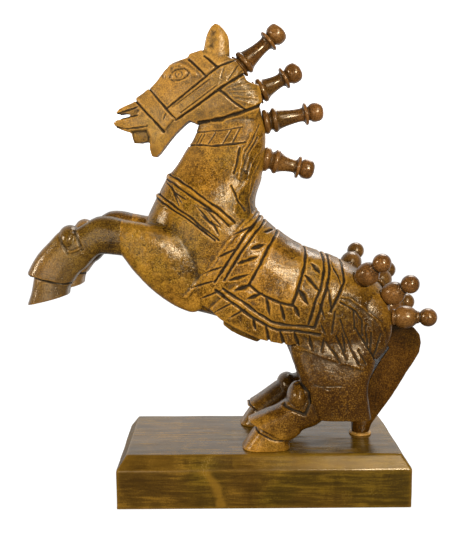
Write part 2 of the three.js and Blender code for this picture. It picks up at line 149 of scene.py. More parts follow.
CLOTH_BOARD, HEAD_BOARD = 80, 50  # widths of the boards that their outlines are sawn through
JOINT_OVERLAP = 3  # both sides run past the glued joint, and are then sawn off at it
FORELEG_STUB_RIBS = [
    (-46, 180, -40, 133.5, 9, -3), (-60, 187, -51, 130.6, 11, -1), (-75, 190.8, -71, 142, 12),
    (-87, 192.8, -87, 157.8, 12), (FORELEG_JOINT_X, 194.5, FORELEG_JOINT_X, 169.8, 11.6),
    (FORELEG_JOINT_X - JOINT_OVERLAP, 195, FORELEG_JOINT_X - JOINT_OVERLAP, 170.2, 11.5),
]
SHANK_RIBS = [
    (FORELEG_JOINT_X + JOINT_OVERLAP, 194, FORELEG_JOINT_X + JOINT_OVERLAP, 169, 11.7),
    (FORELEG_JOINT_X, 194.5, FORELEG_JOINT_X, 169.8, 11.6), (-105, 196.4, -105, 170.8, 11.3),
    (-113, 196, -111, 170.8, 11), (-120.5, 192, -115, 168, 11), (-127, 188.5, -118.5, 164, 11.2),
    (-134, 186, -122, 160.5, 11.2), (-142, 177, -127, 158, 10.8),
]
FORE_CUFF_RIBS = [
    (-133, 188, -120.5, 164, 9.5), (-139, 185.5, -122.5, 161.5, 10.9),
    (-145, 179.5, -124.5, 159, 11.7), (-151.3, 173, -127, 156, 12.3),
    (-156.3, 166, -129, 153, 12.8), (-160.8, 157.3, -131.3, 150, 13.1),
]
FORE_HOOF_RIBS = [
    (-153, 163, -131, 156, 10.5), (-156, 155.5, -131.5, 151, 11.6),
    (-157.8, 146, -132.5, 147, 12.2), (-160.8, 136.5, -133, 143.6, 12.9),
]
FORE_KNOB = Sizes(centre=(-131.5, 181), radii=(8, 12.3, 9.6))
THIGH_RIBS = [
    (50, 152, 76, 148.5, 7, -10), (34, 142, 84, 139, 11.5, -7.5), (22, 126, 88.6, 127, 13.2, -6.5),
    (18, 110, 87.5, 112, 13.3, -5.5), (19.2, 100, 78.5, 101, 13.6, -3.5),
    (22.5, 91, 75.5, 91, 13.6, -1.5), (25.2, 84, 72.5, 83, 13.5, -0.5), (28, 76, 71.8, 75, 13.4),
    (31, 68, 73, 67, 13.3), (36, 57.5, 74.5, 57, 13.2),
]
HIND_CUFF_RIBS = [
    (38, 75, 44, 58, 10), (29, 74, 36, 52, 11), (19, 71.3, 27.5, 49, 11.6),
    (9.5, 65.2, 25.5, 46.2, 12.2),
]
HIND_CUFF_FRONT = {
    "left": [(-0.5, 61, 22, 43.5, 12.9), (-10.8, 56.5, 18.5, 41.5, 13.3)],
    "right": [(0, 58, 22, 43.5, 12.9), (-10, 51.5, 18.5, 41.5, 13.3)],
}
HIND_HOOF_RIBS = [
    (0, 57, 18, 46, 11), (-4.5, 51, 18, 43, 12), (-9, 45, 18.2, 40, 12.6),
    (-15, PLINTH_TOP, 18.5, PLINTH_TOP, 13.3),
]
HIND_KNOBS = {
    "left": Sizes(centre=(24, 71.5), radii=(7.5, 12.6, 11)),
    "right": Sizes(centre=(20.5, 66.5), radii=(7.5, 12.6, 8.5)),
}
TAIL_FOOT_Z = PLINTH_TOP + FOOT_RING.thickness
TAIL_LEFT = TAIL_FOOT.x - TAIL_FOOT.radius
TAIL_RIGHT = TAIL_FOOT.x + TAIL_FOOT.radius
TAIL_OUTLINE = [
    (RUMP_FACE_X, 119), (103, 118.5), (109, 115.5), (113.3, 110.5), (115, 104), (114, 97),
    (109.3, 90), (104, 82.5), (98.7, 73.5), (93.5, 65), (88.5, 57.5), (84, 50.5), (80, 44),
    (TAIL_RIGHT, TAIL_FOOT_Z), (TAIL_LEFT, TAIL_FOOT_Z), (TAIL_LEFT, 48), (69, 57), (73, 67),
    (77, 77), (81, 85), (85.5, 93), (91, 101), (RUMP_FACE_X, 105),
]
TAIL_WAIST_RIBS = [
    (TAIL_LEFT, TAIL_FOOT_Z, TAIL_RIGHT, TAIL_FOOT_Z, TAIL_FOOT.radius),
    (TAIL_LEFT - 2, 46, TAIL_RIGHT + 5, 46, TAIL_FOOT.radius),
    (60, 58, 98, 58, 7.4), (60, 75, 110, 75, 8.2), (60, 121, 120, 121, 8.5),
]

# ---- what is carved into the surface
# Lines are side views, carved alike on both sides.

class Carving(NamedTuple):
    width: float
    depth: float  # for a ridge, how high it stands
    lines: list
    dark: float = 1  # how dark it is painted: stain, and painted shade in the cut
    beyond: float = 0  # how far from the centre plane it starts
    tapered: bool = False


CUTS = {
    "bridle": Carving(1.9, 1.2, [
        [(-90, 277.5), (-85, 272), (-68, 253.5)], [(-80, 285), (-76, 280), (-60, 262.5)],
        [(-65, 269.5), (-31, 296.5), (-20, 301)], [(-51, 302), (-40, 291)], [(-40, 304), (-31, 296)],
        [(-30, 281), (-20, 273.5), (-12, 268)],
    ]),
    "cheek strap": Carving(2.0, 1.2, [[(-60, 261), (-45, 271), (-30, 282), (-14, 292)]]),
    "strap seams": Carving(1.3, 0.6, dark=0.45, lines=[
        [(-62, 270), (-37, 288)], [(-56, 266.5), (-32, 284)], [(-68, 262), (-66, 266)],
        [(-24, 288), (-18, 297)], [(-20, 287), (-15, 294)], [(-29, 289), (-27, 296)],
    ]),
    "jaw": Carving(3.2, 2.0, [[(-44, 259.5), (-30, 262), (-15, 266.5), (-1, 271.5)]]),
    "neck bands": Carving(1.2, 0.6, dark=0.75, lines=[
        [(-46, 253.5), (-30, 254), (-14, 256.5)], [(-42, 252), (-46, 245)], [(-40, 252), (-44, 245)],
        [(-33, 252.5), (-37.5, 245)], [(-22, 254.5), (-28, 245)], [(-16, 256), (-21, 245.5)],
        [(-3, 258), (-8, 247), (-13, 240)], [(-4, 250), (-11, 238), (-14, 230)],
    ]),
    "neck edge": Carving(1.8, 1.0, [
        [(-51, 244.5), (-30, 244), (-12, 246.5)], [(-16, 243), (-20, 226)],
        [(-22, 217), (-18, 207), (-13, 200)],
    ]),
    "collar": Carving(1.7, 1.1, [
        [(-65, 225.5), (-47, 214), (-32, 203), (-20, 192.5)],
        [(-67, 222), (-50, 211), (-38, 203), (-24, 190.5)],
        [(-73, 212), (-60, 203.5), (-50, 196), (-40, 188), (-30, 181)],
        [(-73, 208.5), (-60, 200), (-45, 190), (-33, 181)],
    ]),
    "collar marks": Carving(1.8, 0.9, tapered=True, lines=[
        [(-67, 220), (-55, 206)], [(-63, 217), (-57, 204)], [(-61, 213), (-52, 208)],
        [(-46, 205), (-37, 193), (-29, 189)], [(-43, 198), (-34, 190)], [(-38, 200), (-29, 190)],
        [(-42, 203), (-31, 198)], [(-36, 194), (-30, 184)],
    ]),
    "blanket": Carving(2.4, 1.5, [
        [(0, 198), (-12, 185), (-22, 170), (-33, 153)], [(3, 195), (-8, 183), (-16, 172), (-27, 154)],
        [(11, 187), (3, 176), (-3, 164), (-10, 151)],
        [(-10, 151), (-5, 146), (2, 142), (10, 139), (19, 137)],
        [(29.5, 177), (28, 165), (25, 155), (22, 145), (19, 138)],
        [(41.5, 173), (41, 160), (38, 148), (34, 138), (30, 124)],
        [(45.5, 172), (45, 160), (42, 148), (39, 138), (34, 122)],
        [(-28, 148), (-15, 140), (-3, 131), (5, 126), (15, 123.5), (33, 122)],
        [(-33, 147), (-20, 138), (-8, 129), (2, 123), (10, 120), (38, 117)],
        [(55, 165), (54, 152), (50, 143), (45, 133)],
    ]),
    "blanket marks": Carving(3.4, 1.5, tapered=True, lines=[
        [(0, 186), (7, 187)], [(-9, 175), (1, 178)], [(-18, 165), (-5, 169.5)],
        [(-24, 153.5), (-10, 158)], [(-20, 147), (-9, 151)], [(-12, 141), (-1, 145)],
        [(1, 142), (4, 131)], [(11, 138), (14, 127)], [(20, 137), (24, 129)], [(-7, 128), (-6, 120)],
        [(1, 123), (4, 111)], [(11, 119), (14, 108)], [(20, 118), (24, 109)], [(31, 116), (33, 106)],
        [(32, 165), (38, 158)], [(27, 157), (37, 147)], [(23, 148), (30, 138)],
    ]),
    "fine blanket marks": Carving(1.9, 0.9, tapered=True, lines=[
        [(-22, 184), (-6, 191)], [(-32, 169), (-17, 176)], [(-42, 158), (-27, 163.5)],
        [(-50, 148), (-33, 154)], [(-43, 141), (-29, 147)], [(-34, 132), (-21, 139)],
        [(-24, 128), (-12, 135)], [(47, 165), (52, 150)], [(43, 150), (46, 132)],
        [(37, 139), (41, 128)], [(38, 125), (42, 117)], [(41, 115), (39, 105)],
    ]),
    "rump leaf": Carving(1.6, 1.0, beyond=8, lines=[
        [(51.5, 139), (60.8, 132.7), (66.2, 126.3), (67, 116.6)], [(60, 132.7), (61.5, 121)],
        [(69.3, 123), (70, 110)], [(62.3, 121.4), (70, 108), (78, 96)],
        [(51.5, 127), (57, 112), (64, 97)], [(42, 112), (51.5, 98)], [(79.4, 117), (74.7, 102)],
        [(48, 133), (46, 118)], [(53, 118), (55, 106)], [(73, 118), (72, 106)], [(49, 116), (56, 100)],
        [(64, 106), (69, 97)],
    ]),
    "hock": Carving(2.6, 1.4, beyond=30, lines=[
        [(19, 82), (25, 82.5), (30, 77), (31, 69), (28, 62)], [(13, 68), (20, 65), (28, 62)],
    ]),
    "shin": Carving(1.0, 0.4, beyond=30, dark=0.5, lines=[
        [(32, 82.5), (52, 82)], [(33, 84), (44, 79.5)],
    ]),
    "hind cuff": Carving(1.6, 0.9, beyond=14, lines=[[(-10, 54), (-2, 48.5), (6, 44.5), (19, 42)]]),
    "lips": Carving(1.4, 0.7, [
        [(-102, 265.2), (-94, 267.8), (-86, 270.3)], [(-101, 262.4), (-94, 263), (-86, 264.8)],
        [(-102, 257), (-93, 255.5), (-84, 256.5), (-79, 257.5)],
    ]),
}

# Lines that stand proud, painted pale: partly rubbed by handling, partly painted highlight.
RIDGES = {
    "cloth hems": Carving(3.2, 0.7, [
        [(-2, 202), (-15, 190.5), (-26, 177), (-37, 161), (-53, 142.5)],
        [(22, 107.5), (35, 104), (50, 99), (67, 94)],
    ]),
    "collar cords": Carving(2.4, 0.6, [
        [(-66, 223.8), (-48, 212.5), (-35, 203), (-22, 191.8)],
        [(-73.5, 210.2), (-60, 201.8), (-47, 193), (-32, 181.2)],
    ]),
    "leaf rib": Carving(2.6, 0.6, beyond=8, lines=[
        [(50.7, 143.5), (59, 141), (70, 133), (78, 124.5), (82.5, 117), (83, 109), (78, 98)],
    ]),
    "hatching": Carving(1.1, 0.35, [
        [(-61, 271.5), (-36, 289.5)], [(-55, 268), (-31, 285.5)], [(-26, 283), (-14, 290)],
        [(-25, 281.5), (-9, 286)], [(-23, 280), (-5, 281)], [(-21, 277.5), (-3, 276)],
        [(-18, 275), (-5, 271.5)], [(-1, 250), (-9, 240), (-12, 228)],
        [(-1, 243), (-8, 232), (-11, 220)], [(-2, 235), (-8, 224), (-10, 212)],
        [(-5, 222), (-10, 208), (-9, 198)], [(52, 129), (47, 112)], [(55, 125), (52, 105)],
        [(58, 120), (58, 102)], [(64, 130), (64, 118)], [(73, 127), (74, 115)], [(67, 112), (73, 102)],
    ]),
    "neck folds": Carving(3.0, 0.7, [
        [(-8, 252), (-15, 238), (-17, 222)], [(-12, 219), (-18, 211), (-20, 200)],
    ]),
}

# Areas that stand proud or, below 0, are hollowed: height, softness of the edge, side outline.
RAISED = [
    (-0.9, 2.0, [(-99, 265.6), (-94, 268.5), (-87, 270.5), (-83, 268.5), (-86, 264.5),
                 (-94, 262.5), (-99, 262.3)]),
    (-1.4, 2.5, [(-92, 254.8), (-92, 243), (-77, 243), (-76.5, 250), (-79, 256), (-86, 256)]),
    (-1.0, 4.0, [(-40, 309), (-39, 316), (-36, 322.5), (-31, 322), (-30, 314), (-33, 306)]),
    (0.8, 1.4, [(-90, 278), (-79, 286), (-60, 262.5), (-68, 253.5)]),
    (0.7, 1.2, [(-66, 269.5), (-31, 296.5), (-20, 303), (-12, 293), (-30, 282), (-45, 271),
                (-60, 261)]),
    (0.6, 1.2, [(-52, 308), (-51, 302), (-40, 291), (-31, 296), (-40, 304), (-42, 311)]),
    (0.9, 1.2, [(-66, 228), (-47, 214), (-32, 203), (-20, 192.5), (-24, 190.5), (-38, 203),
                (-50, 211), (-69, 222)]),
    (0.9, 1.2, [(-74, 213), (-60, 203.5), (-50, 196), (-40, 188), (-30, 181), (-33, 181),
                (-45, 190), (-60, 200), (-75, 208.5)]),
    (0.5, 3.0, [(11, 189), (3, 176), (-3, 164), (-10, 151), (-5, 146), (2, 142), (10, 139),
                (19, 137), (22, 145), (25, 155), (28, 165), (29.5, 179)]),
]


# ---- shapes, in millimetres
# A shape is (points, faces), closed.

def spline(points, steps):
    """A smooth curve through the points, with `steps` pieces to each stretch."""
    p = np.asarray(points, float)
    p = np.vstack([2 * p[0] - p[1], p, 2 * p[-1] - p[-2]])
    t = (np.arange(steps) / steps)[:, None]
    stretches = [
        0.5 * (2 * b + (c - a) * t + (2 * a - 5 * b + 4 * c - d) * t**2
               + (3 * b - a - 3 * c + d) * t**3)
        for a, b, c, d in zip(p, p[1:], p[2:], p[3:])
    ]
    return np.vstack([*stretches, p[-2]])


def squarish(values, power):
    """A superellipse coordinate: power 2 is round, higher powers are squarer."""
    return np.sign(values) * np.abs(values) ** (2 / power)


def tube_faces(rings, sides):
    """Faces of a tube of rings, closed at both ends."""
    here = (np.arange(rings - 1)[:, None] * sides + np.arange(sides)).ravel()
    beside = (np.arange(rings - 1)[:, None] * sides + (np.arange(sides) + 1) % sides).ravel()
    walls = np.stack([here, beside, beside + sides, here + sides], -1).tolist()
    last = (rings - 1) * sides
    return walls + [list(range(sides))[::-1], list(range(last, last + sides))]


def loft(ribs, y=0, power=2.6, sides=64, steps=6, shift=(0, 0)):
    """A body that runs smoothly from rib to rib. The power is one number, or one for each rib."""
    power = spline(np.broadcast_to(power, len(ribs))[:, None], steps)
    ribs = spline([(*rib, 0)[:6] for rib in ribs], steps)
    turn = 2 * math.pi * np.arange(sides) / sides
    along = squarish(np.cos(turn), power) / 2
    across = squarish(np.sin(turn), power)
    a, b, half, lean = ribs[:, :2], ribs[:, 2:4], ribs[:, 4:5], ribs[:, 5:6]
    middle, span = (a + b) / 2 + shift, a - b
    points = np.stack([
        middle[:, :1] + span[:, :1] * along,
        y + np.sign(y) * lean + half * across,
        middle[:, 1:] + span[:, 1:] * along,
    ], -1)
    return points.reshape(-1, 3), tube_faces(len(ribs), sides)


def board(outline, thickness, y=0):
    """A side outline, sawn through a board that lies on plane y."""
    outline = np.asarray(outline, float)
    rings = [np.insert(outline, 1, level, axis=1) for level in
             (y - thickness / 2, y + thickness / 2)]
    return np.vstack(rings), tube_faces(2, len(outline))


def ellipsoid(centre, radii, sides=40):
    """A round knob."""
    turn = np.linspace(-math.pi / 2, math.pi / 2, sides // 2 + 1)[1:-1]
    profile = np.stack([np.cos(turn), np.sin(turn)], -1)
    points, faces = turned([(0.02, -1), *profile, (0.02, 1)], sides)
    return points * radii + centre, faces


def turned(profile, sides=72):
    """A shape turned about +Z from (radius, height) points."""
    radius, height = np.asarray(profile, float).T
    turn = 2 * math.pi * np.arange(sides) / sides
    points = np.stack([
        radius[:, None] * np.cos(turn), radius[:, None] * np.sin(turn),
        np.repeat(height[:, None], sides, 1),
    ], -1)
    return points.reshape(-1, 3), tube_faces(len(radius), sides)


def aimed(shape, seat, direction):
    """The shape with its +Z turned to the direction and its origin moved to the seat."""
    turn = Vector((0, 0, 1)).rotation_difference(Vector(direction)).to_matrix()
    return shape[0] @ np.array(turn).T + seat, shape[1]


def rod(radius, start, end, sides=48):
    """A round bar from one point to another."""
    start, end = np.asarray(start, float), np.asarray(end, float)
    length = np.linalg.norm(end - start)
    return aimed(turned([(radius, 0), (radius, length)], sides), start, end - start)


def softened(profile, rounds=2):
    """The profile with its corners cut, as sandpaper leaves them."""
    points = np.asarray(profile, float)
    for _ in range(rounds):
        a, b = points[:-1], points[1:]
        cut = np.stack([0.75 * a + 0.25 * b, 0.25 * a + 0.75 * b], 1).reshape(-1, 2)
        points = np.vstack([points[:1], cut[1:-1], points[-1:]])
    return points


# ---- Blender meshes

SAME_PLACE = 0.001


def new_object(name, *shapes, merged=False):
    """One object of all the shapes. Points in the same place can be merged into one."""
    points, faces, count = [], [], 0
    for shape_points, shape_faces in shapes:
        points.append(shape_points)
        faces += [[count + i for i in face] for face in shape_faces]
        count += len(shape_points)
    mesh = bpy.data.meshes.new(name)
    mesh.from_pydata((np.vstack(points) * MM).tolist(), [], faces)
    bm = bmesh.new()
    bm.from_mesh(mesh)
    if merged:
        bmesh.ops.remove_doubles(bm, verts=bm.verts, dist=SAME_PLACE * MM)
    bmesh.ops.recalc_face_normals(bm, faces=bm.faces)
    bm.to_mesh(mesh)
    bm.free()
    obj = bpy.data.objects.new(name, mesh)
    bpy.context.scene.collection.objects.link(obj)
    return obj


def settle(obj):
    """Applies the object's modifiers."""
    depsgraph = bpy.context.evaluated_depsgraph_get()
    made = bpy.data.meshes.new_from_object(obj.evaluated_get(depsgraph))
    obj.modifiers.clear()
    obj.data = made


def boolean(obj, operation, *shapes):
    """Joins, cuts or intersects the object with each closed shape in turn."""
    for shape in shapes:
        tool = new_object("tool", shape)
        modifier = obj.modifiers.new("boolean", "BOOLEAN")
        modifier.operation = operation
        modifier.solver = "MANIFOLD"
        modifier.object = tool
        settle(obj)
        bpy.data.objects.remove(tool)
    return obj


def fused(obj, voxel):
    """One closed skin around all that the object holds, in cells of `voxel`."""
    modifier = obj.modifiers.new("fuse", "REMESH")
    modifier.mode = "VOXEL"
    modifier.voxel_size = voxel * MM
    settle(obj)


def thinned(obj, triangles):
    """Fewer triangles, kept where the surface bends most."""
    now = sum(len(polygon.vertices) - 2 for polygon in obj.data.polygons)
    if now > triangles:
        modifier = obj.modifiers.new("thin", "DECIMATE")
        modifier.ratio = triangles / now
        settle(obj)


def rows_of(items, key, width, kind=float):
    """One row of numbers for each of the mesh's points or edges."""
    flat = np.empty(len(items) * width, kind)
    items.foreach_get(key, flat)
    return flat.reshape(-1, width)


def points_of(obj):
    return rows_of(obj.data.vertices, "co", 3) / MM


def normals_of(obj):
    return rows_of(obj.data.vertices, "normal", 3)


def edges_of(obj):
    return rows_of(obj.data.edges, "vertices", 2, np.int32)


def set_points(obj, points):
    obj.data.vertices.foreach_set("co", (points * MM).ravel())
    obj.data.update()


def set_raised(obj, points, out):
    """Sets the points, each moved out along its normal by a distance of its own."""
    set_points(obj, points + normals_of(obj) * out[:, None])


def paint(obj, name, values):
    """A number for each point of the mesh, which the wood's nodes read."""
    attribute = obj.data.attributes.new(name, "FLOAT", "POINT")
    attribute.data.foreach_set("value", np.clip(values, 0, 1))


# ---- carving

WOBBLE = 0.45  # how far a line cut by hand strays
WIDTH_CHANGE = 0.4  # how much its width changes, as a share
RIM_HEIGHT = 0.25  # how far a cut's rims are pushed up
RIM_HIGHLIGHT = 0.8  # how much painted highlight they get
SANDING = 0.5
# For each carved piece: the size of its cells, the rounds of sanding and the most triangles.
FINENESS = {
    "horse": (0.65, 2, 180000), "foreleg": (0.5, 2, 60000), "tail": (0.5, 8, 50000),
    "plinth": (0.9, 3, 80000),
}


def smoothed(points, edges, share, rounds):
    """Each point moved `share` of the way to the middle of its neighbours, `rounds` times."""
    a, b = edges.T
    count = len(points)
    neighbours = np.bincount(edges.ravel(), minlength=count)[:, None].clip(1)
    for _ in range(rounds):
        total = np.stack([np.bincount(a, points[b, k], count) + np.bincount(b, points[a, k], count)
                          for k in range(3)], -1)
        points = points + share * (total / neighbours - points)
    return points


def sanded(obj, rounds):
    """Smooths the object, and gives back its points."""
    points = smoothed(points_of(obj), edges_of(obj), SANDING, rounds)
    set_points(obj, points)
    return points


def lumps(points, size, seed):
    """Smooth unevenness from -1 to 1, in lumps of about `size`."""
    cells = 32
    table = np.random.default_rng(seed).uniform(-1, 1, (cells, cells, cells))
    place = points / size
    low = np.floor(place).astype(int)
    t = place - low
    t = t * t * (3 - 2 * t)
    total = np.zeros(len(points))
    for corner in np.ndindex(2, 2, 2):
        weight = np.prod(np.where(corner, t, 1 - t), axis=1)
        total += weight * table[tuple(((low + corner) % cells).T)]
    return total


def line_distance(side, line):
    """How far side view points are from a broken line, and how far along it, from 0 to 1."""
    line = np.asarray(line, float)
    lengths = np.linalg.norm(np.diff(line, axis=0), axis=1)
    starts = np.concatenate([[0], np.cumsum(lengths)])
    nearest = np.full(len(side), np.inf)
    along = np.zeros(len(side))
    for a, b, start, length in zip(line[:-1], line[1:], starts, lengths):
        t = np.clip((side - a) @ (b - a) / length**2, 0, 1)
        away = np.linalg.norm(side - a - t[:, None] * (b - a), axis=1)
        closer = away < nearest
        nearest[closer] = away[closer]
        along[closer] = ((start + t * length) / starts[-1])[closer]
    return nearest, along


def near_line(points, line, reach, tapered=False):
    """The points near a side view line cut by hand, and how far each lies from it, as a share
    of the reach. A tapered line is a lens, widest in the middle."""
    side = points[:, [0, 2]]
    low = np.min(line, axis=0) - 2 * reach
    high = np.max(line, axis=0) + 2 * reach
    near = np.flatnonzero(np.all((side > low) & (side < high), axis=1))
    away, along = line_distance(side[near] + WOBBLE * lumps(points[near], 7, 12)[:, None], line)
    reach = reach * (1 + WIDTH_CHANGE * lumps(points[near], 4, 11))
    if tapered:
        reach = reach * (0.25 + 0.75 * np.sin(math.pi * along))
    return near, away / reach


def inside(side, outline):
    """Whether each side view point is inside the outline."""
    found = np.zeros(len(side), bool)
    x, z = side.T
    for (ax, az), (bx, bz) in zip(outline, [*outline[1:], outline[0]]):
        if az != bz:
            crosses = (az > z) != (bz > z)
            found ^= crosses & (x < (bx - ax) * (z - az) / (bz - az) + ax)
    return found


def plateau(points, outline, soft):
    """1 inside the side outline, falling to 0 at its edge over `soft`."""
    side = points[:, [0, 2]]
    edge, _ = line_distance(side, [*outline, outline[0]])
    t = np.clip(edge / soft, 0, 1) * inside(side, outline)
    return t * t * (3 - 2 * t)


def cut_depth(points, cuts):
    """How deep the V cuts are at each point, how dark they are painted, as stain and painted shade,
    and how much painted highlight their rims get, both from 0 to 1."""
    depth, dark, rim = np.zeros((3, len(points)))
    for cut in cuts:
        for line in cut.lines:
            near, share = near_line(points, line, cut.width / 2, cut.tapered)
            there = np.abs(points[near, 1]) >= cut.beyond
            close = np.clip(1 - share, 0, 1) * there
            depth[near] = np.maximum(depth[near], close * cut.depth)
            dark[near] = np.maximum(dark[near], np.minimum(1, 2.4 * close) * cut.dark)
            rim[near] = np.maximum(rim[near], np.clip(1 - np.abs(share - 1.4) / 0.4, 0, 1) * there)
    return depth, dark, rim * (0.5 + 0.5 * lumps(points, 2.5, 14))


def ridge_height(points, ridges):
    """How high the ridges stand at each point, and how pale they are painted, as rubbed wear and
    painted highlight, from 0 to 1.
    """
    height, pale_marks_and_highlight = np.zeros((2, len(points)))
    for ridge in ridges:
        for line in ridge.lines:
            near, share = near_line(points, line, ridge.width / 2)
            close = np.clip(1 - share, 0, 1) * (np.abs(points[near, 1]) >= ridge.beyond)
            height[near] = np.maximum(height[near], close * ridge.depth)
            pale_marks_and_highlight[near] = np.maximum(pale_marks_and_highlight[near], np.minimum(1, 1.6 * close))
    rough = 0.5 + 0.5 * lumps(points, 1.4, 13)
    return height * (0.4 + rough), pale_marks_and_highlight * rough


def hollows(obj):
    """How hollow (above 0) or proud (below 0) the surface is at each point, in about mm."""
    points = points_of(obj)
    settled = smoothed(points, edges_of(obj), 0.7, 4)
    return np.sum((settled - points) * normals_of(obj), axis=1)


def finish_wood(obj, dark=0, pale_marks_and_highlight=0, hollow_reach=0.25):
    """Paints what the wood's nodes read: stain and painted shade in cuts and hollows, and rubbed
    wear and painted highlight on proud parts, ridges and cut rims.
    """
    hollow = hollows(obj)
    # cuts and hollows painted dark: stain and painted shade
    paint(obj, "stain_and_shade", np.maximum(dark, np.clip(hollow / hollow_reach, 0, 1)))
    # proud parts painted pale as rubbed wear; ridges and cut rims add painted highlight
    paint(obj, "wear_and_highlight", np.maximum(pale_marks_and_highlight, np.clip(-hollow / hollow_reach, 0, 1)))
    obj.data.shade_smooth()


def finish_carved(obj, cuts, ridges, shift=(0, 0)):
    """Finishes a piece whose carving was drawn for a place that lies `shift` back."""
    points = points_of(obj) - (shift[0], 0, shift[1])
    _, dark, rim = cut_depth(points, cuts)
    _, pale_marks_and_highlight = ridge_height(points, ridges)
    # ridges and cut rims painted pale: rubbed wear and painted highlight
    finish_wood(obj, dark, np.maximum(pale_marks_and_highlight, RIM_HIGHLIGHT * rim))


# Where shapes run smoothly into each other, on both sides: middle and radius.
MELTS = [
    (-64, 18, 178, 26), (-60, 24, 148, 22), (-31, 8, 303, 5), (62, 20, 148, 14), (-3, 0, 280, 8),
]


def horse_body():
    """Torso, neck, head, ears, upper forelegs and hind legs, all carved from one block. The
    cloth is the trunk made a little larger."""
    larger = []
    for ax, az, bx, bz, half in TRUNK_RIBS[CLOTH_FROM:]:
        along = Vector((bx - ax, bz - az)).normalized() * CLOTH_SWELL
        larger.append((ax - along.x, az - along.y, bx + along.x, bz + along.y,
                       half + CLOTH_SWELL))
    powers = TRUNK_POWERS[CLOTH_FROM:]
    horse = boolean(new_object("horse", loft(larger, power=powers)), "INTERSECT",
                    board(CLOTH_OUTLINE, CLOTH_BOARD))
    head = boolean(new_object("head", loft(HEAD_RIBS, power=2.7)), "INTERSECT",
                   board(HEAD_OUTLINE, HEAD_BOARD))
    rest = [loft(TRUNK_RIBS, power=TRUNK_POWERS),
            board(BELLY_OUTLINE, BELLY.thickness, BELLY.y)]
    for side, sign in SIDES.items():
        y = sign * HIND_LEG_Y
        (kx, kz), radii = HIND_KNOBS[side].centre, HIND_KNOBS[side].radii
        rest += [
            board(FLAP_OUTLINE, FLAP.thickness, sign * FLAP.y),
            loft(EAR_RIBS, sign * EAR_Y, 2.2),
            loft(FORELEG_STUB_RIBS, sign * FORELEG_Y, 3, shift=FORELEG_SHIFT[side]),
            loft(THIGH_RIBS, y, 4),
            loft(HIND_CUFF_RIBS + HIND_CUFF_FRONT[side], y, 3),
            loft(HIND_HOOF_RIBS, y, 2.8),
            ellipsoid((kx, y, kz), radii),
        ]
    everything = [horse, head, new_object("rest", *rest)]
    cell, rounds, triangles = FINENESS["horse"]
    with bpy.context.temp_override(active_object=horse, selected_editable_objects=everything):
        bpy.ops.object.join()
    fused(horse, cell)

    points, edges = points_of(horse), edges_of(horse)
    folded = points.copy()
    folded[:, 1] = np.abs(folded[:, 1])
    melt = np.zeros(len(points))
    for *middle, radius in MELTS:
        away = np.linalg.norm(folded - middle, axis=1)
        melt = np.maximum(melt, np.clip(1.6 * (1 - away / radius), 0, 1))
    points = smoothed(points, edges, 0.6 * melt[:, None], 40)
    points = smoothed(points, edges, SANDING, rounds)
    set_points(horse, points)

    depth, _, rim = cut_depth(points, CUTS.values())
    height, _ = ridge_height(points, RIDGES.values())
    out = height - depth + RIM_HEIGHT * rim + 0.2 * lumps(points, 9, 1) + 0.09 * lumps(points, 3.5, 2)
    out += 0.07 * lumps(points, 1.6, 10)
    for height, soft, outline in RAISED:
        out += height * plateau(points, outline, soft)
    out += carved_eye(points)
    set_raised(horse, points, out)
    thinned(horse, triangles)
    return horse


EYE = Sizes(centre=(-57.3, 291.6), almond=(6.4, 3.6), tilt=14, iris=2.3, depth=0.9)
EYE_LINES = [  # the brow, the upper lid and the lower lid: line, width, height
    ([(-66, 292), (-63, 297), (-57, 298.5), (-46, 291.5)], 4.5, 1.0),
    ([(-63.5, 292), (-60, 295.8), (-55, 295.5), (-50, 291)], 1.8, 0.5),
    ([(-63, 288.5), (-58, 286.6), (-51, 289.5)], 2.2, 0.5),
]


def carved_eye(points):
    """An almond eye with a ring for its iris, under a brow ridge, on each side of the head."""
    side = points[:, [0, 2]] - EYE.centre
    tilt = math.radians(EYE.tilt)
    turned_side = side @ np.array([[math.cos(tilt), -math.sin(tilt)],
                                   [math.sin(tilt), math.cos(tilt)]])
    almond = np.linalg.norm(turned_side / EYE.almond, axis=1)
    away = np.linalg.norm(side, axis=1)
    rim = np.clip(1 - np.abs(almond - 1) / 0.3, 0, 1)
    ball = np.sqrt(np.clip(1 - almond**2, 0, 1))
    iris = np.clip(1 - np.abs(away - EYE.iris) / 0.7, 0, 1) + np.clip(1 - away / 0.8, 0, 1)
    out = 0.7 * ball - EYE.depth * rim - 0.5 * iris * (almond < 1)
    for line, width, height in EYE_LINES:
        near, share = near_line(points, line, width / 2)
        out[near] += height * np.clip(1 - share, 0, 1)
    return out * (np.abs(points[:, 1]) > 4)


# ---- wood and metal

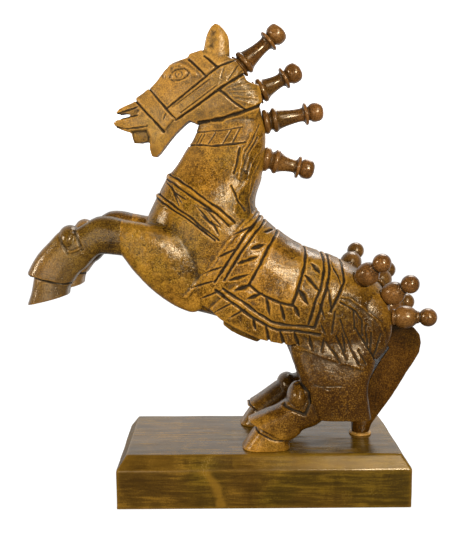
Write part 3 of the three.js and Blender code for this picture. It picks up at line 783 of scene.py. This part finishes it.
class Nodes:
    """Short ways to add and link the nodes of a material or a world."""

    def __init__(self, owner):
        owner.use_nodes = True
        self.owner = owner
        self.tree = owner.node_tree
        self.tree.nodes.clear()

    def feed(self, socket, value):
        """Links the socket or sets its value. A colour is (red, green, blue)."""
        if isinstance(value, bpy.types.NodeSocket):
            self.tree.links.new(value, socket)
        else:
            socket.default_value = (*value, 1.0) if socket.type == "RGBA" else value

    def add(self, kind, inputs=(), **settings):
        node = self.tree.nodes.new(kind)
        for key, value in settings.items():
            setattr(node, key, value)
        for key, value in dict(inputs).items():
            self.feed(node.inputs[key], value)
        return node

    def noise(self, vector, scale, detail=3.0, roughness=0.55, distortion=0.0):
        return self.add("ShaderNodeTexNoise", {
            "Vector": vector, "Scale": scale, "Detail": detail, "Roughness": roughness,
            "Distortion": distortion}).outputs["Fac"]

    def math(self, operation, a, b=0.0, clamp=False):
        return self.add("ShaderNodeMath", {0: a, 1: b}, operation=operation,
                        use_clamp=clamp).outputs[0]

    def ramp(self, value, low, high, to_low=0.0, to_high=1.0, **settings):
        return self.add("ShaderNodeMapRange", {
            "Value": value, "From Min": low, "From Max": high, "To Min": to_low,
            "To Max": to_high}, **settings).outputs["Result"]

    def weighted(self, *pairs):
        """The sum of values, each times its weight."""
        total, *rest = [self.math("MULTIPLY", value, weight) for value, weight in pairs]
        for part in rest:
            total = self.math("ADD", total, part)
        return total

    def mix(self, share, a, b, blend="MIX"):
        return self.add("ShaderNodeMix", {0: share, 6: a, 7: b}, data_type="RGBA",
                        blend_type=blend).outputs[2]

    def bump(self, height, distance, strength=1.0, normal=None):
        inputs = {"Height": height, "Distance": distance * MM, "Strength": strength}
        if normal is not None:
            inputs["Normal"] = normal
        return self.add("ShaderNodeBump", inputs).outputs["Normal"]

    def surface(self, inputs):
        """Ends a material with its shader."""
        shader = self.add("ShaderNodeBsdfPrincipled", inputs).outputs["BSDF"]
        self.add("ShaderNodeOutputMaterial", {"Surface": shader})
        return self.owner


PER_METRE = {"clouds": 17, "mottle": 38, "dents": 160, "streak": 420, "speckle": 1100, "pores": 1500}
GRAIN_STRETCH = 0.09  # noise is drawn out along the fibres by this much
OLIVE = (0.66, 0.74, 0.5)
# the colour of cuts and hollows: stain and painted shade
STAIN_AND_SHADE_COLOUR = (0.006, 0.003, 0.001)
DENT_DEPTH, GRAIN_DEPTH = 0.9, 0.45


def wood(name, deep, body, light, grain, rough=0.2, shine=0.5, relief=0.4, speckling=0.5,
         patches=()):
    """Stained and lacquered wood. Grain is 1 along the fibres and 0 across them. A patch is its
    middle, the radii where it starts to fade and where it ends, its share and its colour. The
    patches paint a darker stain with painted shade, and a painted sheen."""
    n = Nodes(bpy.data.materials.new(name))
    place = n.add("ShaderNodeTexCoord").outputs["Object"]
    squeeze = [1.0 if part == 0 else GRAIN_STRETCH for part in grain]
    fibres = n.add("ShaderNodeMapping", {"Vector": place, "Scale": squeeze}).outputs["Vector"]
    mottle = n.noise(place, PER_METRE["mottle"], 4, 0.6, 0.8)
    speckle = n.noise(place, PER_METRE["speckle"], 2, 0.6)
    streak = n.noise(fibres, PER_METRE["streak"], 4, 0.65, 0.4)
    pores = n.ramp(n.noise(fibres, PER_METRE["pores"], 2, 0.6), 0.62, 0.74)

    tone = n.weighted((mottle, 0.4), (streak, 0.6 - speckling), (speckle, speckling))
    shade = n.mix(n.ramp(tone, 0.4, 0.5), deep, body)
    shade = n.mix(n.ramp(tone, 0.5, 0.6), shade, light)
    clouds = n.ramp(n.noise(place, PER_METRE["clouds"], 2), 0.42, 0.6)
    shade = n.mix(clouds, shade, OLIVE, "MULTIPLY")
    shade = n.mix(n.math("MULTIPLY", pores, 0.5), shade, [0.3 * part for part in deep])
    # proud parts, ridges and cut rims painted pale: rubbed wear and painted highlight
    wear_and_highlight = n.add("ShaderNodeAttribute", attribute_name="wear_and_highlight").outputs["Fac"]
    shade = n.mix(n.math("MULTIPLY", wear_and_highlight, 0.5), shade, [1.4 * part for part in light])
    flecks = n.ramp(speckle, 0.5, 0.62, 1.0, 0.75)
    # patches: a darker stain with painted shade, and a painted sheen
    for middle, near, far, share, patch_colour in patches:
        away = n.add("ShaderNodeVectorMath", {0: place, 1: [part * MM for part in middle]},
                     operation="DISTANCE").outputs["Value"]
        reach = n.math("MULTIPLY", n.ramp(away, near * MM, far * MM, share, 0.0), flecks)
        shade = n.mix(reach, shade, patch_colour)
    # cuts and hollows painted dark: stain and painted shade
    stain_and_shade_share = n.add("ShaderNodeAttribute", attribute_name="stain_and_shade").outputs["Fac"]
    stain_and_shade_share = n.math("MULTIPLY", stain_and_shade_share, n.ramp(speckle, 0.25, 0.5, 0.8, 1.0), clamp=True)
    shade = n.mix(stain_and_shade_share, shade, STAIN_AND_SHADE_COLOUR)

    uneven = n.weighted((mottle, 0.6), (speckle, 0.4))
    gloss = n.ramp(uneven, 0.3, 0.7, rough - 0.08, rough + 0.1)
    gloss = n.math("ADD", gloss, n.math("MULTIPLY", stain_and_shade_share, 0.45), clamp=True)
    edge = n.add("ShaderNodeLayerWeight", {"Blend": 0.5}).outputs["Facing"]
    gloss = n.math("ADD", gloss, n.ramp(edge, 0.7, 1.0, 0.0, 0.5), clamp=True)
    height = n.weighted((streak, 0.4), (speckle, 0.6), (pores, -0.3))
    normal = n.bump(n.noise(place, PER_METRE["dents"], 3, 0.6), DENT_DEPTH * relief, 0.5)
    normal = n.bump(height, GRAIN_DEPTH * relief, 1.0, normal)
    return n.surface({
        "Base Color": shade, "Roughness": gloss, "Normal": normal, "Specular IOR Level": shine,
        "Specular Tint": (1, 0.84, 0.6)})


def zinc(name):
    """Zinc plated steel with fine turning marks and a dull bloom."""
    n = Nodes(bpy.data.materials.new(name))
    place = n.add("ShaderNodeTexCoord").outputs["Object"]
    bloom = n.noise(place, 600, 4, 0.6)
    rings = n.noise(n.add("ShaderNodeMapping", {
        "Vector": place, "Scale": (0.05, 0.05, 1)}).outputs["Vector"], 4000, 2)
    return n.surface({
        "Base Color": n.mix(bloom, (0.42, 0.42, 0.4), (0.68, 0.68, 0.66)),
        "Metallic": 1.0, "Roughness": n.ramp(bloom, 0.3, 0.7, 0.25, 0.5),
        "Normal": n.bump(rings, 0.03)})


ALONG_X, UPRIGHT = (1, 0, 0), (0, 0, 1)
DEEP_BROWN = (0.02, 0.007, 0.0005)
# a darker stain with painted shade, for the rump and hind legs
HIND_STAIN_AND_SHADE = (0.024, 0.0075, 0.0002)
# a painted sheen, for the cheek and the fore hoof
PAINTED_SHEEN = (0.55, 0.36, 0.17)
# its patches: a darker stain with painted shade round the rump and hind legs, and a painted sheen on the
# head
horse_wood = wood("horse_wood", DEEP_BROWN, (0.14, 0.06, 0.004), (0.4, 0.195, 0.024), UPRIGHT,
                  shine=0.32, relief=0.42,
                  patches=[((62, 0, 78), 52, 96, 0.9, HIND_STAIN_AND_SHADE),
                           ((-62, 0, 284), 35, 70, 0.15, PAINTED_SHEEN)])
# its patch is a painted sheen on the hoof
foreleg_wood = wood("foreleg_wood", DEEP_BROWN, (0.1, 0.043, 0.005), (0.24, 0.12, 0.02), ALONG_X,
                    shine=0.45, relief=0.42,
                    patches=[((-150, 0, 150), 20, 50, 0.2, PAINTED_SHEEN)])
# darker than the horse's wood: partly a darker stain, partly painted shade low down
tail_wood = wood("tail_wood", DEEP_BROWN, (0.055, 0.021, 0.0015), (0.12, 0.052, 0.005), UPRIGHT,
                 shine=0.25)
peg_wood = wood("peg_wood", (0.026, 0.01, 0.002), (0.1, 0.04, 0.008), (0.22, 0.098, 0.026),
                ALONG_X, shine=0.45, relief=0.1)
plinth_wood = wood("plinth_wood", (0.045, 0.022, 0.002), (0.08, 0.041, 0.004), (0.19, 0.1, 0.01),
                   ALONG_X, shine=0.4, relief=0.15, speckling=0.15)
pale_wood = wood("pale_wood", (0.2, 0.09, 0.01), (0.42, 0.22, 0.05), (0.6, 0.36, 0.1), UPRIGHT,
                 rough=0.35)
steel = zinc("steel")


# ---- the pieces

def dress(obj, material, body, slot, *nodes):
    """Gives a finished piece its material, its body and the CAD nodes that it stands for."""
    obj.data.materials.clear()
    obj.data.materials.append(material)
    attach(obj, body)
    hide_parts(*nodes)


def bead(middle, radius, half, start, end, power=2, steps=14):
    """Profile of a ball, from one angle above or below its widest place to another."""
    at = np.sin(np.linspace(start, end, steps))
    width = radius * (1 - np.abs(at) ** power) ** (1 / power)
    return list(np.stack([width, middle + half * at], -1))


def mane_profile(peg):
    """Two discs at the neck, a waisted shaft and a thin collar, and then the knob."""
    r, half = MANE_DISC_RADIUS, MANE_DISC_HALF
    flange, collar = peg.flange, peg.collar
    inner, shaft = flange - half, collar - flange
    turned_part = [
        (r - 0.9, 0), (r, 0.6), (r, inner * 0.5), (5.7, inner * 0.75), (r - 1.5, flange - half),
        (r, flange - half + 0.7), (r, flange + half - 1.2), (r - 1.6, flange + half),
        (5.7, flange + shaft * 0.35), (4.6, flange + shaft * 0.7), (4.8, collar - 1.6),
        (7.8, collar - 1.1), (7.8, collar + 0.9), (4.6, collar + 1.4),
    ]
    return turned_part, bead(peg.knob, peg.radius, 5.6, -0.85, 1.5, 2.6)


def tail_profile():
    """A pin with a round belly, and then the ball."""
    turned_part = [
        (4.8, 0), (5.7, 0.7), (5.7, 1.9), (5.2, 2.4), (7.2, 5), (8, 8.5), (7.7, 11.5),
        (6.5, 14.5), (4.3, 17), (4.3, 18.2), (3.6, 18.8),
    ]
    return turned_part, bead(TAIL_BALL_AT, 6.3, 6.3, -0.95, 1.45)


def peg_plans():
    """Each peg's name, seat, direction and profile."""
    plans = []
    for number, peg in enumerate(MANE_PEGS, 1):
        lean = math.radians(peg.lean)
        plans.append((f"mane_peg_{number}", (peg.seat[0], 0, peg.seat[1]),
                      (math.cos(lean), 0, math.sin(lean)), mane_profile(peg)))
    for name, (seat, ball) in TAIL_PEGS.items():
        direction = Vector(ball) - Vector(seat)
        plans.append((name, seat, tuple(direction.normalized()), tail_profile()))
    return plans


def peg_cutter(seat, direction, profile):
    """The drilled hole and the seat that a peg slides in. It only widens outwards, so that the
    peg can be pulled out."""
    turned_part, knob = profile
    hole = TENON.radius + GLUE_GAP
    points = [(hole, -TENON.length - GLUE_GAP), (hole, -GLUE_GAP)]
    widest = hole
    for radius, height in [*turned_part, *knob]:
        reach = max(widest, radius + GLUE_GAP)
        if reach > widest:
            points.append((reach, height - GLUE_GAP))
        widest = reach
    points.append((widest, knob[-1][1] + 6))
    return aimed(turned(points), seat, direction)


def make_peg(name, seat, direction, profile):
    """A turned peg, with points close enough together to show fine unevenness."""
    turned_part, knob = profile
    radius, length = TENON.radius, TENON.length
    tenon = [(radius - 0.6, -length), (radius, 1 - length), (radius, 0)]
    outline = np.vstack([tenon, softened(turned_part), knob])
    stations = [outline[0]]
    for a, b in zip(outline[:-1], outline[1:]):
        pieces = max(1, round(float(np.linalg.norm(b - a)) / PEG_STEP))
        stations += [a + (b - a) * k / pieces for k in range(1, pieces + 1)]
    obj = new_object(f"{name}_turned", aimed(turned(stations), seat, direction))
    points = points_of(obj)
    set_raised(obj, points, 0.05 * lumps(points, 3, 5))
    finish_wood(obj, hollow_reach=0.3)
    dress(obj, peg_wood, name, "peg_wood", name)


def make_horse(plans):
    """The horse, sawn off at the glued joints and drilled for its pegs, dowels and screws."""
    horse = horse_body()
    behind = RUMP_FACE_X + 30
    low, high = RUMP_FLAT_Z
    flat = [(RUMP_FACE_X, low), (behind, low), (behind, high), (RUMP_FACE_X, high)]
    cutters = [beyond_joint(side, -1) for side in SIDES]
    cutters.append(board(flat, RUMP_FLAT_WIDTH))
    cutters += [peg_cutter(seat, direction, profile) for _, seat, direction, profile in plans]
    cutters += [dowel_rod(side, GLUE_GAP) for side in SIDES]
    cutters += [screw_shape(side, GLUE_GAP) for side in SIDES]
    cutters.append(rod(DOWEL.radius + GLUE_GAP,
                       (RUMP_FACE_X - DOWEL.length / 2 - GLUE_GAP, 0, TAIL_DOWEL_Z),
                       (behind, 0, TAIL_DOWEL_Z)))
    boolean(horse, "DIFFERENCE", *cutters)
    finish_carved(horse, CUTS.values(), RIDGES.values())
    dress(horse, horse_wood, "figure", "horse_wood", "horse_body")


def beyond_joint(side, way):
    """The space on one side of a foreleg's glued joint, towards the hoof (-1) or the chest (1)."""
    x = FORELEG_JOINT_X + FORELEG_SHIFT[side][0]
    far = x + way * 40
    outline = [(x, 140), (far, 140), (far, 220), (x, 220)]
    return board(outline, 36, SIDES[side] * FORELEG_Y)


def dowel_rod(side, extra):
    """A foreleg's dowel, or its hole, which is larger all round."""
    dx, dz = FORELEG_SHIFT[side]
    half = DOWEL.length / 2 + extra
    x, y, z = FORELEG_JOINT_X + dx, SIDES[side] * FORELEG_Y, DOWEL.z + dz
    return rod(DOWEL.radius + extra, (x - half, y, z), (x + half, y, z))


def screw_shape(side, extra=0):
    """A countersunk screw, or its hole, which is larger and open below."""
    low = -1 if extra else SCREW.sink
    rim = SCREW.sink + 0.5
    head, shank = SCREW.head + extra, SCREW.radius + extra
    top = SCREW.tip_z + extra
    profile = [(head, low), (head, rim), (shank, rim + SCREW.depth), (shank, top - 4),
               (0.4, top)]
    return aimed(turned(profile), (SCREW.x, SIDES[side] * HIND_LEG_Y, 0), (0, 0, 1))


FORELEG_CUTS = [
    Carving(2.6, 0.7, dark=0.5, lines=[
        [(-127, 187), (-124.5, 181), (-122, 175)], [(-137.5, 183), (-134, 177), (-131.5, 172.5)],
    ]),
    Carving(2.0, 1.2, [[(-161, 158), (-150, 154.5), (-140, 152.5), (-130, 151)]]),
]
FORELEG_RIDGES = [
    Carving(2.2, 0.8, [[(-132, 173), (-127, 174), (-122.5, 176)]]),
]


def make_foreleg(side):
    """A foreleg, from its glued joint to its hoof."""
    y, shift = SIDES[side] * FORELEG_Y, FORELEG_SHIFT[side]
    (kx, kz), radii = FORE_KNOB.centre, FORE_KNOB.radii
    shapes = [loft(ribs, y, 2.8, shift=shift)
              for ribs in (SHANK_RIBS, FORE_CUFF_RIBS, FORE_HOOF_RIBS)]
    shapes.append(ellipsoid((kx + shift[0], y, kz + shift[1]), radii))
    leg = new_object(f"foreleg_{side}_carved", *shapes)
    cell, rounds, triangles = FINENESS["foreleg"]
    fused(leg, cell)
    points = sanded(leg, rounds)
    moved = points - (shift[0], 0, shift[1])
    depth, _, _ = cut_depth(moved, FORELEG_CUTS)
    out = -depth + 0.14 * lumps(points, 8, 3) + 0.06 * lumps(points, 3, 4)
    out *= np.clip((FORELEG_JOINT_X + shift[0] - points[:, 0]) / 6, 0, 1)  # the joint stays flush
    height, _ = ridge_height(moved, FORELEG_RIDGES)
    set_raised(leg, points, out + height)
    thinned(leg, triangles)
    boolean(leg, "DIFFERENCE", beyond_joint(side, 1), dowel_rod(side, GLUE_GAP))
    finish_carved(leg, FORELEG_CUTS, FORELEG_RIDGES, shift)
    dress(leg, foreleg_wood, "figure", "horse_wood", f"foreleg_{side}")


def make_tail():
    """The curved tail board, flat where it is glued to the rump, and its tenon in the plinth."""
    tail = boolean(new_object("tail_board_carved", loft(TAIL_WAIST_RIBS, power=2.2)), "INTERSECT",
                   board(TAIL_OUTLINE, TAIL_FOOT.thickness))
    cell, rounds, triangles = FINENESS["tail"]
    fused(tail, cell)
    points = sanded(tail, rounds)
    uneven = np.clip((points[:, 0] - RUMP_FACE_X) / 2, 0, 1)
    uneven[points[:, 2] < 100] = 1
    set_raised(tail, points, (0.15 * lumps(points, 9, 6) + 0.06 * lumps(points, 3, 7)) * uneven)
    thinned(tail, triangles)
    x = TAIL_FOOT.x
    boolean(tail, "UNION", rod(TENON.radius, (x, 0, PLINTH_TOP - TAIL_FOOT.tenon),
                               (x, 0, TAIL_FOOT_Z + 4)))
    boolean(tail, "DIFFERENCE",
            rod(DOWEL.radius + GLUE_GAP, (RUMP_FACE_X - 5, 0, TAIL_DOWEL_Z),
                (RUMP_FACE_X + DOWEL.length / 2 + GLUE_GAP, 0, TAIL_DOWEL_Z)))
    finish_wood(tail)
    dress(tail, tail_wood, "figure", "horse_wood", "tail_board")


CHAMFER = Sizes(run=6.4, drop=9)
BRUSH_MARK = [(-52, 35), (-46, 31), (-38, 24), (-32, 14), (-29, 3)]
BRUSH_HALF = 3.8


def make_plinth():
    """The block with its chamfered top, painted lighter on the top and chamfer as a painted
    highlight that grows to the right, and marked by a brush.
    """
    low, high = (np.array(corner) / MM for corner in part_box("plinth"))
    shoulder = high[2] - CHAMFER.drop
    rings = []
    for inset, z in ((0, low[2]), (0, shoulder), (CHAMFER.run, high[2])):
        x0, y0 = low[:2] + inset
        x1, y1 = high[:2] - inset
        rings += [(x0, y0, z), (x1, y0, z), (x1, y1, z), (x0, y1, z)]
    block = new_object("plinth_planed", (np.array(rings), tube_faces(3, 4)))
    cell, rounds, triangles = FINENESS["plinth"]
    fused(block, cell)
    points = sanded(block, rounds)
    out = 0.22 * lumps(points, 22, 8) + 0.1 * lumps(points * (0.25, 1, 1), 5, 9)
    set_raised(block, points, out * np.clip(points[:, 2] / 2, 0, 1))  # flat underneath
    thinned(block, triangles)
    foot_x = TAIL_FOOT.x
    tenon_end = PLINTH_TOP - TAIL_FOOT.tenon - GLUE_GAP
    boolean(block, "DIFFERENCE",
            rod(TENON.radius + GLUE_GAP, (foot_x, 0, tenon_end), (foot_x, 0, PLINTH_TOP + 5)),
            *(screw_shape(side, GLUE_GAP) for side in SIDES))
    points = points_of(block)
    x, y, z = points.T
    patchiness = 0.5 + 0.5 * lumps(points * (0.5, 1, 1), 6, 15)
    # painted highlight on the top and chamfer, in patches, stronger towards +X
    pale_marks_and_highlight = 0.9 * patchiness * (z > shoulder + 0.5) * (0.75 + 0.25 * np.clip(x / 50, -1, 1))
    near, share = near_line(points, BRUSH_MARK, BRUSH_HALF)
    pale_marks_and_highlight[near] = np.clip(2 - 2 * share, 0, 1) * (y[near] < low[1] + 4) * (z[near] < shoulder)
    finish_wood(block, pale_marks_and_highlight=pale_marks_and_highlight)
    dress(block, plinth_wood, "figure", "plinth_wood", "plinth")


def make_ring():
    """The ring around the tail's foot: a profile that closes on itself, so it needs no ends."""
    outer, inner, thick = FOOT_RING.outer, FOOT_RING.inner, FOOT_RING.thickness
    profile = softened([(inner, 0), (outer - 0.3, 0), (outer, 0.3), (outer, thick - 0.5),
                        (outer - 0.5, thick), (inner, thick)])
    points, faces = turned([*profile, profile[0]], 96)
    shape = points + (TAIL_FOOT.x, 0, PLINTH_TOP), faces[:-2]
    ring = new_object("tail_foot_ring_turned", shape, merged=True)
    finish_wood(ring)
    dress(ring, pale_wood, "figure", "pale_wood", "tail_foot_ring")


def make_screw(side):
    """A screw with a cross slot in its head."""
    screw = new_object(f"hoof_screw_{side}_slotted", screw_shape(side))
    x, y, z = SCREW.x, SIDES[side] * HIND_LEG_Y, SCREW.sink
    for half_x, half_y in (SLOT, SLOT[::-1]):
        outline = [(x - half_x, z - 1), (x + half_x, z - 1), (x + half_x * 0.6, z + 1.6),
                   (x - half_x * 0.6, z + 1.6)]
        boolean(screw, "DIFFERENCE", board(outline, 2 * half_y, y))
    dress(screw, steel, "figure", "steel", f"hoof_screw_{side}")


plans = peg_plans()
make_horse(plans)
for side in SIDES:
    make_foreleg(side)
    make_screw(side)
make_tail()
make_plinth()
make_ring()
for plan in plans:
    make_peg(*plan)
for node in ("tail_dowel", "foreleg_dowel_left", "foreleg_dowel_right"):
    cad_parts[node].data.materials.clear()
    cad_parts[node].data.materials.append(pale_wood)

# ---- floor, light and camera

FLOOR_HALF, FLOOR_THICKNESS = 20000, 20
PALE_FROM, PALE_TO = 0.1, 0.35  # metres behind the figure where the floor turns pale


def floor_material():
    """White to the camera. What the lacquer reflects is grey in front and pale behind."""
    n = Nodes(bpy.data.materials.new("floor"))
    place = n.add("ShaderNodeTexCoord").outputs["Object"]
    tone = n.noise(place, 3, 3)
    depth = n.add("ShaderNodeSeparateXYZ", {0: place}).outputs["Y"]
    seen = n.add("ShaderNodeLightPath").outputs["Is Camera Ray"]
    lit = n.math("MAXIMUM", n.ramp(depth, PALE_FROM, PALE_TO, 0.05, 0.9),
                 n.math("MULTIPLY", seen, 0.97))
    return n.surface({
        "Base Color": n.mix(tone, (0.14, 0.14, 0.14), (0.16, 0.16, 0.16)),
        "Emission Color": (1, 1, 1), "Roughness": 0.9, "Specular IOR Level": 0.1,
        "Emission Strength": lit})


def studio():
    """A world that is white to the camera, and brighter behind the figure than in front of it."""
    n = Nodes(bpy.data.worlds.new("studio"))
    way = n.add("ShaderNodeTexCoord").outputs["Generated"]
    back = n.add("ShaderNodeSeparateXYZ", {0: way}).outputs["Y"]
    glow = n.ramp(back, -0.2, 0.9, 0.1, 0.95, interpolation_type="SMOOTHERSTEP")
    seen = n.add("ShaderNodeLightPath").outputs["Is Camera Ray"]
    background = n.add("ShaderNodeBackground", {
        "Color": (1, 1, 1), "Strength": n.math("ADD", glow, seen)}).outputs["Background"]
    n.add("ShaderNodeOutputWorld", {"Surface": background})
    return n.owner


# Each light's place in metres, its size, power and tint.
LIGHTS = {
    "key": ((0.32, -0.94, 0.42), 0.18, 10, (1, 0.92, 0.8)),
    "left": ((-1.05, -0.4, 0.5), 0.25, 7, (1, 0.93, 0.85)),
    "low_left": ((-0.32, -0.96, 0.2), 0.42, 1.6, (1, 0.93, 0.85)),
    "high": ((0.32, -0.65, 0.74), 0.35, 2.6, (1, 0.92, 0.8)),
    "back": ((0.3, 0.6, 0.9), 0.5, 5, (1, 0.97, 0.94)),
}
LIT_PLACE = (-0.02, 0, 0.17)
CAMERA = Sizes(place=(-0.0288, -0.5744, 0.2293), pitch=82.8, turn=-0.96, lens=54.12)


def add_light(name, place, size, power, tint):
    """A round soft light, aimed at the figure."""
    data = bpy.data.lights.new(name, "AREA")
    data.shape = "DISK"
    data.size = size
    data.energy = power
    data.color = tint
    lamp = bpy.data.objects.new(name, data)
    lamp.location = place
    lamp.rotation_euler = (Vector(LIT_PLACE) - Vector(place)).to_track_quat("-Z", "Y").to_euler()
    bpy.context.scene.collection.objects.link(lamp)


def add_camera():
    data = bpy.data.cameras.new("camera")
    data.lens = CAMERA.lens
    data.sensor_width = 36
    camera = bpy.data.objects.new("camera", data)
    camera.location = CAMERA.place
    camera.rotation_euler = (math.radians(CAMERA.pitch), 0, math.radians(CAMERA.turn))
    bpy.context.scene.collection.objects.link(camera)
    bpy.context.scene.camera = camera


corners = ((-1, -1), (1, -1), (1, 1), (-1, 1))
slab = [(x * FLOOR_HALF, y * FLOOR_HALF, z) for z in (-FLOOR_THICKNESS, 0) for x, y in corners]
floor = new_object("floor", (np.array(slab, float), tube_faces(2, 4)))
floor.data.materials.append(floor_material())
for name, settings in LIGHTS.items():
    add_light(name, *settings)
add_camera()
bpy.context.scene.world = studio()
bpy.context.scene.view_settings.view_transform = "Standard"
